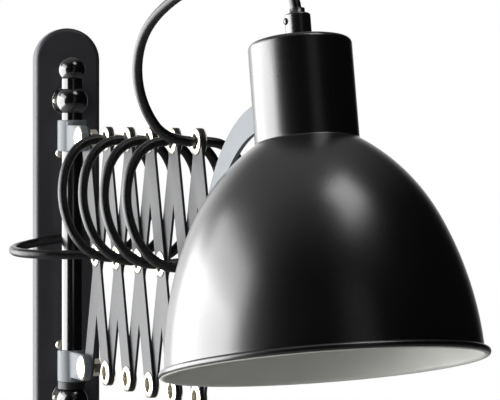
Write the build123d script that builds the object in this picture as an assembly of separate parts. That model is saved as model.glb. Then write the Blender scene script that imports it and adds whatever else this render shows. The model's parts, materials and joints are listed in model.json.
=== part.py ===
"""Accordion wall lamp: a pill-shaped wall plate with an upright rail, a scissor arm of
flat steel bars joined by tubular eyelets, a crescent arm and a tilting domed shade.
A textile cord is laced through the eyelets, from the wall plate to the shade.

Row frame: +Z up, the wall is the plane y = 0, and the lamp stands out towards -Y.
Lengths are in millimetres and angles in degrees.
"""
import math
import os

from build123d import *

# ---------------------------------------------------------------- driving dimensions
# wall plate: a shallow pressed pan on a flat strap
PLATE_WIDTH = 44.0
PLATE_HEIGHT = 300.0
PLATE_DEPTH = 16.0
PLATE_SHEET = 1.2
PLATE_EDGE_RADIUS = 3.0
STRAP_WIDTH = 26.0
STRAP_HEIGHT = 240.0
STRAP_SHEET = 2.0
WALL_HOLE_DIAMETER = 5.2
WALL_HOLE_SPACING = 180.0
MAINS_HOLE_DIAMETER = 12.0
MAINS_HOLE_Z = 45.0
PLATE_SCREW_SPACING = 130.0
PLATE_SCREW_OFFSET = -5.0
PLATE_SCREW_DIAMETER = 4.0
PLATE_SCREW_HEAD = 7.0
PLATE_SCREW_HEAD_HEIGHT = 2.4
PLATE_SCREW_GRIP = 8.0
STANDOFF_DIAMETER = 8.0

# rail: rod, two ball posts and two finials
ROD_DIAMETER = 14.0
ROD_STANDOFF = 22.0
BALL_DIAMETER = 21.4
BALL_SPACING = 201.0
FINIAL_DIAMETER = 18.2
FINIAL_RISE = 20.7
FINIAL_SPIGOT = 6.0
FINIAL_SPIGOT_LENGTH = 8.0
POST_DIAMETER = 10.0
POST_FOOT_DIAMETER = 22.0
POST_FOOT_SHEET = 2.5
POST_FOOT_EDGE = 0.8
POST_SCREW_DIAMETER = 3.0
POST_SCREW_HEAD = 4.6
POST_SCREW_HEAD_HEIGHT = 1.8
POST_SCREW_GRIP = 4.0
POST_SCREW_SPACING = 16.6
BUSH_WALL = 2.5

# brackets that ride on the rod
BARREL_DIAMETER = 19.3
BARREL_HEIGHT = 21.0
BARREL_RAISE = 1.5
BARREL_EDGE = 0.6
LUG_REACH = 34.0
LUG_HEIGHT = 17.0
LUG_SHEET = 4.0

# scissor arm
BAR_PIVOTS = 157.0
BAR_WIDTH = 16.0
BAR_SHEET = 1.6
BAR_EDGE = 0.3
BAR_LEAN = 15.5
CELLS = 5
SWING = 10.5
EYELET_DIAMETER = 9.6
EYELET_BORE = 8.4
EYELET_FLANGE = 16.0
EYELET_CROWN = 1.3
EYELET_ROLL = 1.3
EYELET_LIP = 0.35

# pivot screws, nuts and washers
PIVOT_SCREW = 6.0
PIVOT_HEAD = 16.0
PIVOT_HEAD_HEIGHT = 3.0
SLOT_TO_HEAD = 0.1
SLOT_DEPTH_TO_HEAD = 0.08
NUT_FLATS = 10.0
NUT_HEIGHT = 5.0
WASHER_DIAMETER = 12.0
WASHER_SHEET = 1.0
SCREW_TAIL = 0.8
TIP_BOLT_HEAD = 14.0
TIP_BOLT_GRIP = 9.5
WING_HUB = 11.0
WING_HUB_HEIGHT = 8.0
WING_HUB_EDGE = 1.2
WING_SPAN = 28.0
WING_HEIGHT = 12.0
WING_SHEET = 2.4

# crescent arm
ARM_RADIUS = 102.4
ARM_WIDTH = 15.5
ARM_SHEET = 2.5
ARM_START = 174.1
ARM_END = 86.6

# shade and its lug
SHADE_TILT = 11.5
SHADE_SHEET = 1.0
NECK_DIAMETER = 56.0
NECK_ABOVE_LUG = 31.4
NECK_BELOW_LUG = 23.6
NECK_EDGE_RADIUS = 3.0
DOME_UPPER_RADIUS = 108.0
DOME_LOWER_RADIUS = 184.0
DOME_START_ANGLE = 57.0
DOME_JOIN_ANGLE = 25.0
DOME_END_ANGLE = 1.4
BEAD_DIAMETER = 4.2
PIVOT_REACH = 13.2
CHEEK_SHEET = 2.0
LUG_PLATE_WIDTH = 20.0
LUG_PLATE_HEIGHT = 22.0
LUG_PLATE_SHEET = 2.5
SHADE_SCREW = 5.0
SHADE_SCREW_HEAD = 10.0
KNOB_DIAMETER = 16.0
KNOB_HEIGHT = 8.0
KNOB_EDGE = 1.5
KNOB_FLUTES = 24
KNOB_FLUTE_DIAMETER = 1.2
KNOB_FLOOR = 1.0
SHADE_SCREW_HEAD_HEIGHT = 2.4
LUG_PLATE_EDGE = 3.0

# lampholder and cord grip
NIPPLE_DIAMETER = 10.0
NIPPLE_BORE = 7.0
HOLDER_DIAMETER = 40.0
HOLDER_HEIGHT = 50.0
HOLDER_CAP_HEIGHT = 18.0
HOLDER_CAP_WALL = 2.5
HOLDER_CAP_ROOF = 5.0
HOLDER_CAP_EDGE = 6.0
HOLDER_BANDS = 6
HOLDER_BAND_PITCH = 2.6
HOLDER_BAND_WIDTH = 1.2
HOLDER_BAND_DEPTH = 0.8
HOLDER_BAND_START = 4.0
NIPPLE_NUT_FLATS = 14.0
NIPPLE_NUT_HEIGHT = 3.0
NIPPLE_IN_CAP = 6.0
LAMP_THREAD_DIAMETER = 26.6
LAMP_THREAD_DEPTH = 26.0
CONTACT_SEAT_DIAMETER = 30.0
CONTACT_DEPTH = 3.0
CONTACT_STUD = 9.0
CONTACT_IN_CAP = 3.0
GRIP_DIAMETER = 14.0
GRIP_HEIGHT = 15.3
GRIP_EDGE = 1.2
GRIP_COLLAR_DIAMETER = 8.4
GRIP_COLLAR_HEIGHT = 3.0
GRIP_SCREW = 2.0
GRIP_SCREW_HEAD = 3.8
GRIP_SCREW_HEAD_HEIGHT = 1.3
NIPPLE_IN_GRIP = 8.0

# cord
CORD_DIAMETER = 6.0
CORD_BORE = 6.4
CORD_LEAD = 5.0
CORD_BULGE = 29.0
CORD_END_TURN = 60.0
GROMMET_X = 5.0
GROMMET_Z = 9.0
GROMMET_FLANGE = 12.0
GROMMET_HOLE = 9.0
GROMMET_LIP = 1.0
CORD_BEHIND_ROD = 15.5
CORD_IN_PLATE = 8.5
BLOCK_WIDTH = 17.0
BLOCK_DEPTH = 10.5
BLOCK_HEIGHT = 24.0
BLOCK_TOP_Z = -12.0
BLOCK_POLES = 3
BLOCK_WIRE_HOLE = 3.8
BLOCK_WIRE_RISE = 0.8
BLOCK_SCREW_WELL = 3.2
BLOCK_WELL_DEPTH = 2.5
WALL_BEND = 43.0
LOOP_BULGE = 43.0
LOOP_RISE = 95.0
LOOP_STEM = 20.0
GRIP_STEM = 9.0

# clearances
RUNNING = 0.05
DRILL_GAP = 0.2
FACE_GAP = 0.15
SEAT_GAP = 0.05

# ---------------------------------------------------------------- derived places
ROD_AXIS_Y = -(PLATE_DEPTH + ROD_STANDOFF)
LEAN = math.radians(BAR_LEAN)
PITCH = BAR_PIVOTS * math.sin(LEAN)
ROW_HEIGHT = BAR_PIVOTS * math.cos(LEAN)
LAYER = FACE_GAP + BAR_SHEET
FLANGE_SEAT = LAYER + SEAT_GAP
SWING_FRAME = Pos(0, ROD_AXIS_Y, 0) * Rot(0, 0, SWING)


def top(k):
    """Reach and height of top pivot k; pivot 0 is on the upper bracket."""
    return (LUG_REACH + k * PITCH, ROW_HEIGHT / 2)


def low(k):
    """Reach and height of bottom pivot k; pivot 0 is on the lower bracket."""
    return (LUG_REACH + k * PITCH, -ROW_HEIGHT / 2)


def mid(k):
    """Reach and height of the crossing of the k-th pair of bars."""
    return (LUG_REACH + (k - 0.5) * PITCH, 0.0)


TIP = mid(CELLS + 1)
ARM_LAYER = LAYER + SEAT_GAP + FACE_GAP
ARM_SIDE = -(ARM_LAYER + ARM_SHEET / 2)
ARM_CENTRE = (
    TIP[0] - ARM_RADIUS * math.cos(math.radians(ARM_START)),
    TIP[1] - ARM_RADIUS * math.sin(math.radians(ARM_START)),
)
SHADE_PIVOT = (
    ARM_CENTRE[0] + ARM_RADIUS * math.cos(math.radians(ARM_END)),
    ARM_CENTRE[1] + ARM_RADIUS * math.sin(math.radians(ARM_END)),
)
NECK_TO_PIVOT = NECK_DIAMETER / 2 + PIVOT_REACH
SHADE_FRAME = (
    SWING_FRAME
    * Pos(ARM_SIDE, -SHADE_PIVOT[0], SHADE_PIVOT[1])
    * Rot(-SHADE_TILT, 0, 0)
    * Pos(0, -NECK_TO_PIVOT, 0)
)

parts = {}


def keep(node, shape):
    """Store one node's shape, as one solid or a group of separate solids."""
    parts[node] = shape


def in_swing(side, reach, height):
    """Row-frame point of a place given across, along and up the scissor arm."""
    return (SWING_FRAME * Pos(side, -reach, height)).position


# ---------------------------------------------------------------- helpers
def across(shape, pivot, side=0.0):
    """Turn a shape built on +Z so that +Z points across the scissor arm, at a pivot."""
    return SWING_FRAME * Pos(side, -pivot[0], pivot[1]) * Rot(0, 90, 0) * shape


def rod_shape(diameter, start, end):
    """A round bar on the Z axis between two heights."""
    return Pos(0, 0, start) * Cylinder(
        diameter / 2, end - start, align=(Align.CENTER, Align.CENTER, Align.MIN)
    )


def ring(outer, inner, start, end):
    """A flat ring on the Z axis between two heights."""
    return rod_shape(outer, start, end) - rod_shape(inner, start - 1, end + 1)


def dome_screw(head, head_height, shank, length):
    """Slotted dome-head screw: the shank lies on +Z from 0, the head below 0."""
    radius = head / 2
    rim = 0.3 * head_height
    rise = head_height - rim
    dome = (radius**2 + rise**2) / (2 * rise)
    half = math.asin(radius / dome) / 2
    halfway = (dome * math.sin(half), dome * (1 - math.cos(half)) - head_height)
    outline = Polyline((0, 0), (radius, 0), (radius, -rim))
    outline += ThreePointArc((radius, -rim), halfway, (0, -head_height))
    outline += Line((0, -head_height), (0, 0))
    screw = revolve(Plane.XZ * make_face(outline), Axis.Z) + rod_shape(shank, 0, length)
    width, depth = SLOT_TO_HEAD * head + 0.2, SLOT_DEPTH_TO_HEAD * head
    return screw - Pos(0, 0, -head_height) * Box(head * 2, width, 2 * depth)


def hex_nut(flats, height, bore, start):
    """Hexagon nut on the Z axis, standing on a height."""
    body = extrude(RegularPolygon(flats / 2, 6, major_radius=False), height)
    return Pos(0, 0, start) * (body - rod_shape(bore, -1, height + 1))


def strip(pivot_a, pivot_b, width, thickness, side, holes):
    """Round-ended flat bar between two pivots, with (pivot, diameter) holes."""
    run = (-(pivot_b[0] - pivot_a[0]), pivot_b[1] - pivot_a[1])
    length = math.hypot(*run)
    centre = ((pivot_a[0] + pivot_b[0]) / 2, (pivot_a[1] + pivot_b[1]) / 2)
    plane = Plane(
        origin=(side, -centre[0], centre[1]), x_dir=(0, run[0], run[1]), z_dir=(1, 0, 0)
    )
    bar = extrude(SlotCenterToCenter(length, width), thickness)
    bar = chamfer(bar.faces().sort_by(Axis.Z)[0].edges(), BAR_EDGE)
    bar = chamfer(bar.faces().sort_by(Axis.Z)[-1].edges(), BAR_EDGE)
    for pivot, diameter in holes:
        along = math.hypot(pivot[0] - pivot_a[0], pivot[1] - pivot_a[1]) - length / 2
        bar -= Pos(along, 0, 0) * rod_shape(diameter, -1, thickness + 1)
    return SWING_FRAME * plane.location * bar


def tube(path):
    """Cord solid along a path."""
    return sweep(Plane(origin=path @ 0, z_dir=path % 0) * Circle(CORD_DIAMETER / 2), path=path)


# ---------------------------------------------------------------- wall plate
def slot_xz(width, height, depth, front):
    """Upright pill from the plane y = front, that deep towards the wall."""
    return Pos(0, front, 0) * Rot(90, 0, 0) * Pos(0, 0, -depth) * extrude(
        SlotOverall(height, width, rotation=90), depth
    )


def drill_y(diameter, x, z, y_front, y_back):
    """Round bar along Y, used for holes and standoffs."""
    return Pos(x, y_back, z) * Rot(90, 0, 0) * rod_shape(diameter, 0, y_back - y_front)


def wall_plate():
    """Pressed pan, open towards the wall, with every hole its neighbours need."""
    pan = slot_xz(PLATE_WIDTH, PLATE_HEIGHT, PLATE_DEPTH, -PLATE_DEPTH)
    pan = fillet(pan.faces().sort_by(Axis.Y)[0].edges(), PLATE_EDGE_RADIUS)
    inside = slot_xz(
        PLATE_WIDTH - 2 * PLATE_SHEET,
        PLATE_HEIGHT - 2 * PLATE_SHEET,
        PLATE_DEPTH,
        PLATE_SHEET - PLATE_DEPTH,
    )
    inside = fillet(inside.faces().sort_by(Axis.Y)[0].edges(), PLATE_EDGE_RADIUS - PLATE_SHEET)
    pan -= inside
    face = (-PLATE_DEPTH - 1, -PLATE_DEPTH + PLATE_SHEET + 1)
    for side in (1, -1):
        z = side * PLATE_SCREW_SPACING / 2
        pan -= drill_y(PLATE_SCREW_DIAMETER + DRILL_GAP, PLATE_SCREW_OFFSET, z, *face)
        z = side * BALL_SPACING / 2
        for x in (-POST_SCREW_SPACING / 2, POST_SCREW_SPACING / 2):
            pan -= drill_y(POST_SCREW_DIAMETER + DRILL_GAP, x, z, *face)
    pan -= drill_y(GROMMET_HOLE, GROMMET_X, GROMMET_Z, *face)
    keep("wall_plate", pan)


def wall_strap():
    """Flat strap screwed to the wall, which carries the plate on two standoffs."""
    strap = slot_xz(STRAP_WIDTH, STRAP_HEIGHT, STRAP_SHEET, -STRAP_SHEET)
    for side in (1, -1):
        z = side * WALL_HOLE_SPACING / 2
        strap -= drill_y(WALL_HOLE_DIAMETER, 0, z, -STRAP_SHEET - 1, 1)
    strap -= drill_y(MAINS_HOLE_DIAMETER, 0, MAINS_HOLE_Z, -STRAP_SHEET - 1, 1)
    keep("wall_strap", strap)
    standoffs = []
    screws = []
    for side in (1, -1):
        z = side * PLATE_SCREW_SPACING / 2
        back = -STRAP_SHEET
        front = PLATE_SHEET - PLATE_DEPTH
        post = drill_y(STANDOFF_DIAMETER, PLATE_SCREW_OFFSET, z, front, back)
        bore = PLATE_SCREW_DIAMETER + 2 * RUNNING
        post -= drill_y(bore, PLATE_SCREW_OFFSET, z, front - 1, front + PLATE_SCREW_GRIP + 1)
        standoffs.append(post)
        length = PLATE_SHEET + PLATE_SCREW_GRIP
        screw = dome_screw(PLATE_SCREW_HEAD, PLATE_SCREW_HEAD_HEIGHT, PLATE_SCREW_DIAMETER, length)
        screws.append(Pos(PLATE_SCREW_OFFSET, -PLATE_DEPTH, z) * Rot(-90, 0, 0) * screw)
    keep("plate_standoffs", Compound(children=standoffs))
    keep("plate_screws", Compound(children=screws))


def terminal_block():
    """Three-pole connector on the strap, with its wire holes and screw wells."""
    block = Box(BLOCK_WIDTH, BLOCK_DEPTH, BLOCK_HEIGHT)
    for pole in range(BLOCK_POLES):
        z = (pole - (BLOCK_POLES - 1) / 2) * BLOCK_HEIGHT / BLOCK_POLES
        wire_hole = Rot(0, 90, 0) * Cylinder(BLOCK_WIRE_HOLE / 2, BLOCK_WIDTH + 2)
        block -= Pos(0, BLOCK_WIRE_RISE, z) * wire_hole
        for x in (-BLOCK_WIDTH / 4, BLOCK_WIDTH / 4):
            well = Rot(90, 0, 0) * Cylinder(BLOCK_SCREW_WELL / 2, 2 * BLOCK_WELL_DEPTH)
            block -= Pos(x, -BLOCK_DEPTH / 2, z) * well
    place = Pos(0, -STRAP_SHEET - BLOCK_DEPTH / 2, BLOCK_TOP_Z - BLOCK_HEIGHT / 2)
    keep("terminal_block", place * block)


def cord_grommet():
    """Bush that lines the cord's hole in the wall plate."""
    back = -PLATE_SHEET - GROMMET_LIP
    bush = rod_shape(GROMMET_FLANGE, 0, GROMMET_LIP) + rod_shape(GROMMET_FLANGE, back, -PLATE_SHEET)
    bush += rod_shape(GROMMET_HOLE - 2 * RUNNING, -PLATE_SHEET, 0)
    bush -= rod_shape(CORD_BORE, back - 1, GROMMET_LIP + 1)
    keep("cord_grommet", Pos(GROMMET_X, -PLATE_DEPTH, GROMMET_Z) * Rot(90, 0, 0) * bush)


# ---------------------------------------------------------------- rail
def rail():
    """Rod, ball posts with their screws, finial balls and the lower bush."""
    seat = math.sqrt((FINIAL_DIAMETER / 2) ** 2 - (ROD_DIAMETER / 2) ** 2)
    rod_end = BALL_SPACING / 2 + FINIAL_RISE - seat
    rod = rod_shape(ROD_DIAMETER, -rod_end, rod_end)
    spigot_depth = FINIAL_SPIGOT_LENGTH
    for side in (1, -1):
        low_z, high_z = sorted((side * (rod_end - spigot_depth - 1), side * (rod_end + 1)))
        rod -= rod_shape(FINIAL_SPIGOT + 2 * RUNNING, low_z, high_z)
    keep("rail_rod", Pos(0, ROD_AXIS_Y, 0) * rod)
    finials = []
    posts = []
    screws = []
    for side in (1, -1):
        ball_z = side * (BALL_SPACING / 2 + FINIAL_RISE)
        ball = Pos(0, 0, ball_z) * Sphere(FINIAL_DIAMETER / 2)
        cut_low, cut_high = sorted((side * (rod_end - 2 * FINIAL_DIAMETER), side * rod_end))
        ball -= rod_shape(2 * FINIAL_DIAMETER, cut_low, cut_high)
        stud_low, stud_high = sorted((side * (rod_end - spigot_depth), side * (rod_end + 1)))
        ball += rod_shape(FINIAL_SPIGOT, stud_low, stud_high)
        finials.append(Pos(0, ROD_AXIS_Y, 0) * ball)
        post_z = side * BALL_SPACING / 2
        post = Pos(0, ROD_AXIS_Y, post_z) * Sphere(BALL_DIAMETER / 2)
        post += drill_y(POST_DIAMETER, 0, post_z, ROD_AXIS_Y, -PLATE_DEPTH)
        foot = drill_y(POST_FOOT_DIAMETER, 0, post_z, -PLATE_DEPTH - POST_FOOT_SHEET, -PLATE_DEPTH)
        post += fillet(foot.faces().sort_by(Axis.Y)[0].edges(), POST_FOOT_EDGE)
        post -= Pos(0, ROD_AXIS_Y, post_z) * rod_shape(
            ROD_DIAMETER + 2 * RUNNING, -BALL_DIAMETER, BALL_DIAMETER
        )
        for x in (-POST_SCREW_SPACING / 2, POST_SCREW_SPACING / 2):
            front = -PLATE_DEPTH - 2 * POST_FOOT_SHEET
            post -= drill_y(POST_SCREW_DIAMETER + DRILL_GAP, x, post_z, front, -PLATE_DEPTH + 1)
            length = POST_FOOT_SHEET + POST_SCREW_GRIP
            screw = dome_screw(POST_SCREW_HEAD, POST_SCREW_HEAD_HEIGHT, POST_SCREW_DIAMETER, length)
            screws.append(Pos(x, -PLATE_DEPTH - POST_FOOT_SHEET, post_z) * Rot(-90, 0, 0) * screw)
        posts.append(post)
    keep("finial_balls", Compound(children=finials))
    keep("rail_posts", Compound(children=posts))
    keep("post_screws", Compound(children=screws))
    bore = ROD_DIAMETER / 2 + RUNNING
    bush_low = -BALL_SPACING / 2 + math.sqrt((BALL_DIAMETER / 2) ** 2 - bore**2) + SEAT_GAP
    bush_high = low(0)[1] - BARREL_RAISE - BARREL_HEIGHT / 2 - SEAT_GAP
    bush = ring(ROD_DIAMETER + 2 * BUSH_WALL, 2 * bore, bush_low, bush_high)
    keep("thrust_bush", Pos(0, ROD_AXIS_Y, 0) * bush)


def bracket(pivot, lug_side, raise_by):
    """Barrel on the rod with a flat lug that carries one row-end pivot."""
    centre = pivot[1] + raise_by
    barrel = rod_shape(BARREL_DIAMETER, centre - BARREL_HEIGHT / 2, centre + BARREL_HEIGHT / 2)
    barrel = chamfer(barrel.edges().filter_by(GeomType.CIRCLE), BARREL_EDGE)
    lug = Box(LUG_SHEET, LUG_REACH, LUG_HEIGHT, align=(Align.MIN, Align.MAX, Align.CENTER))
    lug = Pos(lug_side, 0, pivot[1]) * lug
    end = rod_shape(LUG_HEIGHT, 0, LUG_SHEET)
    end = Pos(lug_side, -LUG_REACH, pivot[1]) * Rot(0, 90, 0) * end
    body = barrel + lug + end
    body -= rod_shape(ROD_DIAMETER + 2 * RUNNING, centre - BARREL_HEIGHT, centre + BARREL_HEIGHT)
    hole = rod_shape(PIVOT_SCREW + 2 * RUNNING, -LUG_HEIGHT, LUG_HEIGHT)
    hole = Pos(0, -LUG_REACH, pivot[1]) * Rot(0, 90, 0) * hole
    return SWING_FRAME * (body - hole)


def pivot_fasteners(name, pivot, head_side, stack_end):
    """Slotted screw from the near side, with its washer and nut behind the stack."""
    washer_end = stack_end + SEAT_GAP + WASHER_SHEET
    nut_start = washer_end + SEAT_GAP
    length = nut_start + NUT_HEIGHT + SCREW_TAIL - head_side
    screw = dome_screw(PIVOT_HEAD, PIVOT_HEAD_HEIGHT, PIVOT_SCREW, length)
    keep(name + "_screw", across(screw, pivot, head_side))
    bore = PIVOT_SCREW + 2 * RUNNING
    washer = ring(WASHER_DIAMETER, bore, stack_end + SEAT_GAP, washer_end)
    nut = hex_nut(NUT_FLATS, NUT_HEIGHT, bore, nut_start)
    keep(name + "_nut", Compound(children=[across(washer, pivot), across(nut, pivot)]))


def brackets():
    """Lower bracket, carried by the bush, and the upper bracket, free to slide."""
    lower_side = -(FACE_GAP / 2 + LUG_SHEET)
    keep("lower_bracket", bracket(low(0), lower_side, -BARREL_RAISE))
    pivot_fasteners("lower_pivot", low(0), lower_side - SEAT_GAP, LAYER)
    upper_side = -(LAYER + FACE_GAP + LUG_SHEET)
    keep("upper_bracket", bracket(top(0), upper_side, BARREL_RAISE))
    pivot_fasteners("upper_pivot", top(0), upper_side - SEAT_GAP, -FACE_GAP)


# ---------------------------------------------------------------- scissor arm
def scissor_bars():
    """Five crossing pairs of full bars, then a pair of half bars that meet at the tip."""
    eyelet_hole = EYELET_DIAMETER + 2 * RUNNING
    screw_hole = PIVOT_SCREW + 2 * RUNNING
    front_side = -LAYER
    rear_side = FACE_GAP
    for k in range(1, CELLS + 1):
        first = screw_hole if k == 1 else eyelet_hole
        holes = [(top(k - 1), first), (mid(k), eyelet_hole), (low(k), eyelet_hole)]
        keep(f"front_bar_{k}", strip(top(k - 1), low(k), BAR_WIDTH, BAR_SHEET, front_side, holes))
        holes = [(low(k - 1), first), (mid(k), eyelet_hole), (top(k), eyelet_hole)]
        keep(f"rear_bar_{k}", strip(low(k - 1), top(k), BAR_WIDTH, BAR_SHEET, rear_side, holes))
    holes = [(top(CELLS), eyelet_hole), (TIP, screw_hole)]
    keep("front_half_bar", strip(top(CELLS), TIP, BAR_WIDTH, BAR_SHEET, front_side, holes))
    holes = [(low(CELLS), eyelet_hole), (TIP, screw_hole)]
    keep("rear_half_bar", strip(low(CELLS), TIP, BAR_WIDTH, BAR_SHEET, rear_side, holes))


def eyelet():
    """Tubular rivet on the Z axis, rolled over at both ends."""
    bore, shank, flange = EYELET_BORE / 2, EYELET_DIAMETER / 2, EYELET_FLANGE / 2
    edge = FLANGE_SEAT + EYELET_LIP
    crown = FLANGE_SEAT + EYELET_CROWN
    crown_radius = bore + EYELET_ROLL
    outline = Polyline(
        (shank, 0), (shank, FLANGE_SEAT), (flange, FLANGE_SEAT), (flange, edge)
    )
    outline += ThreePointArc(
        (flange, edge), ((flange + crown_radius) / 2, crown - 0.25), (crown_radius, crown)
    )
    outline += ThreePointArc((crown_radius, crown), (bore + EYELET_LIP, crown - 0.3), (bore, edge))
    outline += Polyline((bore, edge), (bore, 0), (shank, 0))
    half = revolve(Plane.XZ * make_face(outline), Axis.Z)
    return half + mirror(half, about=Plane.XY)


def eyelets():
    """Each front bar's eyelets, which ride with that bar."""
    blank = eyelet()
    for k in range(1, CELLS + 1):
        pivots = [mid(k), low(k)] if k == 1 else [top(k - 1), mid(k), low(k)]
        keep(f"eyelets_{k}", Compound(children=[across(blank, pivot) for pivot in pivots]))
    keep("eyelet_half_bar", across(blank, top(CELLS)))


# ---------------------------------------------------------------- tip and crescent arm
def wing_nut(start):
    """Wing nut on the Z axis, standing on a height."""
    hub = rod_shape(WING_HUB, start, start + WING_HUB_HEIGHT)
    hub = chamfer(hub.faces().sort_by(Axis.Z)[-1].edges(), WING_HUB_EDGE)
    half, root = WING_SPAN / 2, WING_HUB / 4
    foot = (root, 0.05 * WING_HEIGHT)
    shoulder = (0.82 * half, WING_HEIGHT / 3)
    ear_out = (half, 2 * WING_HEIGHT / 3)
    ear_top = (0.84 * half, 0.97 * WING_HEIGHT)
    ear_in = (0.64 * half, 0.88 * WING_HEIGHT)
    outline = Polyline(foot, shoulder, ear_out)
    outline += ThreePointArc(ear_out, ear_top, ear_in)
    outline += Polyline(ear_in, (root, 0.58 * WING_HEIGHT), foot)
    wing = Rot(90, 0, 0) * extrude(make_face(outline), WING_SHEET / 2, both=True)
    nut = hub + Pos(0, 0, start) * wing + Pos(0, 0, start) * Rot(0, 0, 180) * wing
    return nut - rod_shape(PIVOT_SCREW + 2 * RUNNING, start - 1, start + WING_HEIGHT)


def tip_fasteners():
    """Bolt through the arm and both half bars, with a washer and a wing nut."""
    head_side = -(ARM_LAYER + ARM_SHEET + SEAT_GAP)
    washer_end = LAYER + SEAT_GAP + WASHER_SHEET
    nut_start = washer_end + SEAT_GAP
    length = nut_start + TIP_BOLT_GRIP - head_side
    bolt = dome_screw(TIP_BOLT_HEAD, PIVOT_HEAD_HEIGHT, PIVOT_SCREW, length)
    keep("tip_bolt", across(bolt, TIP, head_side))
    bore = PIVOT_SCREW + 2 * RUNNING
    washer = ring(WASHER_DIAMETER, bore, LAYER + SEAT_GAP, washer_end)
    keep("tip_wing_nut", Compound(children=[across(washer, TIP), across(wing_nut(nut_start), TIP)]))


def crescent_arm():
    """Flat quarter ring from the tip bolt up to the shade's lug."""
    start, end = math.radians(ARM_START), math.radians(ARM_END)

    def at(radius, angle):
        return (-radius * math.cos(angle), radius * math.sin(angle))

    outer, inner = ARM_RADIUS + ARM_WIDTH / 2, ARM_RADIUS - ARM_WIDTH / 2
    middle = (start + end) / 2
    outline = ThreePointArc(at(outer, start), at(outer, middle), at(outer, end))
    outline += Line(at(outer, end), at(inner, end))
    outline += ThreePointArc(at(inner, end), at(inner, middle), at(inner, start))
    outline += Line(at(inner, start), at(outer, start))
    blade = extrude(make_face(outline), ARM_SHEET)
    holes = ((start, PIVOT_SCREW), (end, SHADE_SCREW))
    for angle, screw in holes:
        x, y = at(ARM_RADIUS, angle)
        blade += Pos(x, y, 0) * rod_shape(ARM_WIDTH, 0, ARM_SHEET)
    for angle, screw in holes:
        x, y = at(ARM_RADIUS, angle)
        blade -= Pos(x, y, 0) * rod_shape(screw + 2 * RUNNING, -1, ARM_SHEET + 1)
    plane = Plane(
        origin=(-(ARM_LAYER + ARM_SHEET), -ARM_CENTRE[0], ARM_CENTRE[1]),
        x_dir=(0, 1, 0),
        z_dir=(1, 0, 0),
    )
    keep("crescent_arm", SWING_FRAME * plane.location * blade)


# ---------------------------------------------------------------- shade
def dome_points():
    """Outer profile of the dome: neck foot, arc join, lower end and the arcs' middles."""
    a0, a1, a2 = (
        math.radians(a) for a in (DOME_START_ANGLE, DOME_JOIN_ANGLE, DOME_END_ANGLE)
    )

    def step(point, radius, first, last):
        return (
            point[0] + radius * (math.cos(last) - math.cos(first)),
            point[1] - radius * (math.sin(first) - math.sin(last)),
        )

    foot = (NECK_DIAMETER / 2, -NECK_BELOW_LUG)
    upper_mid = step(foot, DOME_UPPER_RADIUS, a0, (a0 + a1) / 2)
    join = step(foot, DOME_UPPER_RADIUS, a0, a1)
    lower_mid = step(join, DOME_LOWER_RADIUS, a1, (a1 + a2) / 2)
    end = step(join, DOME_LOWER_RADIUS, a1, a2)
    return foot, upper_mid, join, lower_mid, end


def shade_shell():
    """Spun shade: a straight neck, a dome of two arcs and a rolled bead at the mouth."""
    foot, upper_mid, join, lower_mid, end = dome_points()
    outline = Polyline((0, NECK_ABOVE_LUG), (NECK_DIAMETER / 2, NECK_ABOVE_LUG), foot)
    outline += ThreePointArc(foot, upper_mid, join)
    outline += ThreePointArc(join, lower_mid, end)
    outline += Polyline(end, (0, end[1]), (0, NECK_ABOVE_LUG))
    solid = revolve(Plane.XZ * make_face(outline), Axis.Z)
    solid = fillet(solid.faces().sort_by(Axis.Z)[-1].edges(), NECK_EDGE_RADIUS)
    shell = offset(
        solid, amount=-SHADE_SHEET, openings=solid.faces().sort_by(Axis.Z)[0], kind=Kind.INTERSECTION
    )
    shell = shell if shell.volume < solid.volume / 2 else solid - shell
    bead = Pos(0, 0, end[1]) * Torus(end[0] + BEAD_DIAMETER / 2 - SHADE_SHEET, BEAD_DIAMETER / 2)
    shell += bead
    shell -= rod_shape(NIPPLE_DIAMETER + 0.2, NECK_ABOVE_LUG - 5, NECK_ABOVE_LUG + 5)
    keep("shade", SHADE_FRAME * shell)


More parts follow.
